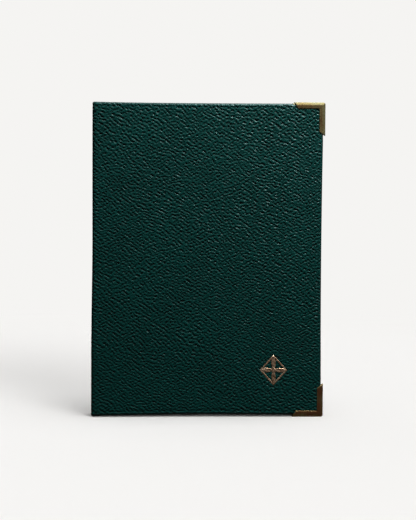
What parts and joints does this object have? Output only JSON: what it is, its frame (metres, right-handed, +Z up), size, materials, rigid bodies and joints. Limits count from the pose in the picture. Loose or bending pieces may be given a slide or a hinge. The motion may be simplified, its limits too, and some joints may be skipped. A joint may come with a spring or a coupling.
{
  "type": "pocket notebook",
  "caption": "Leather pocket notebook with brass corners on the fore-edge, standing closed; the cover opens flat at a folding spine and the sewn refill's pages fan out.",
  "frame": {"origin": "middle of the closed notebook's footprint, at table level", "axes": "+Z up along the spine, -Y towards whoever faces the front cover, +X from the spine to the fore-edge"},
  "size_m": [0.101, 0.0112, 0.1373],
  "materials": {
    "cover_leather": "pebbled, semi-gloss",
    "pocket_leather": "smooth, matte",
    "lining_cloth": "woven",
    "stiffener_board": "raw",
    "aged_brass": "tumbled, patinated",
    "foil": "hot-stamped foil",
    "kraft_card": "uncoated",
    "page_paper": "uncoated",
    "tape_cloth": "woven",
    "linen_thread": "waxed"
  },
  "bodies": {
    "back_cover": {"back_leather": "cover_leather", "back_board": "stiffener_board", "back_lining": "lining_cloth", "back_flap": "pocket_leather", "back_corner_head": "aged_brass", "back_corner_tail": "aged_brass", "back_card": "kraft_card", "spine_tape": "tape_cloth", "sewing_thread": "linen_thread", "signature_4": "page_paper"},
    "spine": {"spine_leather": "cover_leather", "spine_board": "stiffener_board", "spine_lining": "lining_cloth"},
    "front_cover": {"front_leather": "cover_leather", "front_board": "stiffener_board", "front_lining": "lining_cloth", "front_flap": "pocket_leather", "front_corner_head": "aged_brass", "front_corner_tail": "aged_brass", "foil_mark": "foil"},
    "front_card": {"front_card": "kraft_card"},
    "signature_1": {"signature_1": "page_paper"},
    "signature_2": {"signature_2": "page_paper"},
    "signature_3": {"signature_3": "page_paper"}
  },
  "joints": [
    {"name": "spine_fold", "type": "hinge", "parent": "back_cover", "child": "spine", "pos_m": [-0.05045, 0.0052, 0], "axis": [0, 0, -1], "range_deg": [0, 90]},
    {"name": "front_fold", "type": "hinge", "parent": "spine", "child": "front_cover", "pos_m": [-0.05045, -0.0052, 0], "axis": [0, 0, -1], "range_deg": [0, 90]},
    {"name": "front_card_turn", "type": "hinge", "parent": "back_cover", "child": "front_card", "pos_m": [-0.04685, 0, 0], "axis": [0, 0, -1], "range_deg": [0, 179.1]},
    {"name": "signature_1_turn", "type": "hinge", "parent": "back_cover", "child": "signature_1", "pos_m": [-0.04685, 0, 0], "axis": [0, 0, -1], "range_deg": [0, 174.6]},
    {"name": "signature_2_turn", "type": "hinge", "parent": "back_cover", "child": "signature_2", "pos_m": [-0.04685, 0, 0], "axis": [0, 0, -1], "range_deg": [0, 167.4]},
    {"name": "signature_3_turn", "type": "hinge", "parent": "back_cover", "child": "signature_3", "pos_m": [-0.04685, 0, 0], "axis": [0, 0, -1], "range_deg": [0, 9]}
  ],
  "couplings": [
    {"joint": "front_fold", "follows": "spine_fold", "ratio": 1},
    {"joint": "front_card_turn", "follows": "spine_fold", "ratio": 1.99},
    {"joint": "signature_1_turn", "follows": "spine_fold", "ratio": 1.94},
    {"joint": "signature_2_turn", "follows": "spine_fold", "ratio": 1.86},
    {"joint": "signature_3_turn", "follows": "spine_fold", "ratio": 0.1}
  ]
}
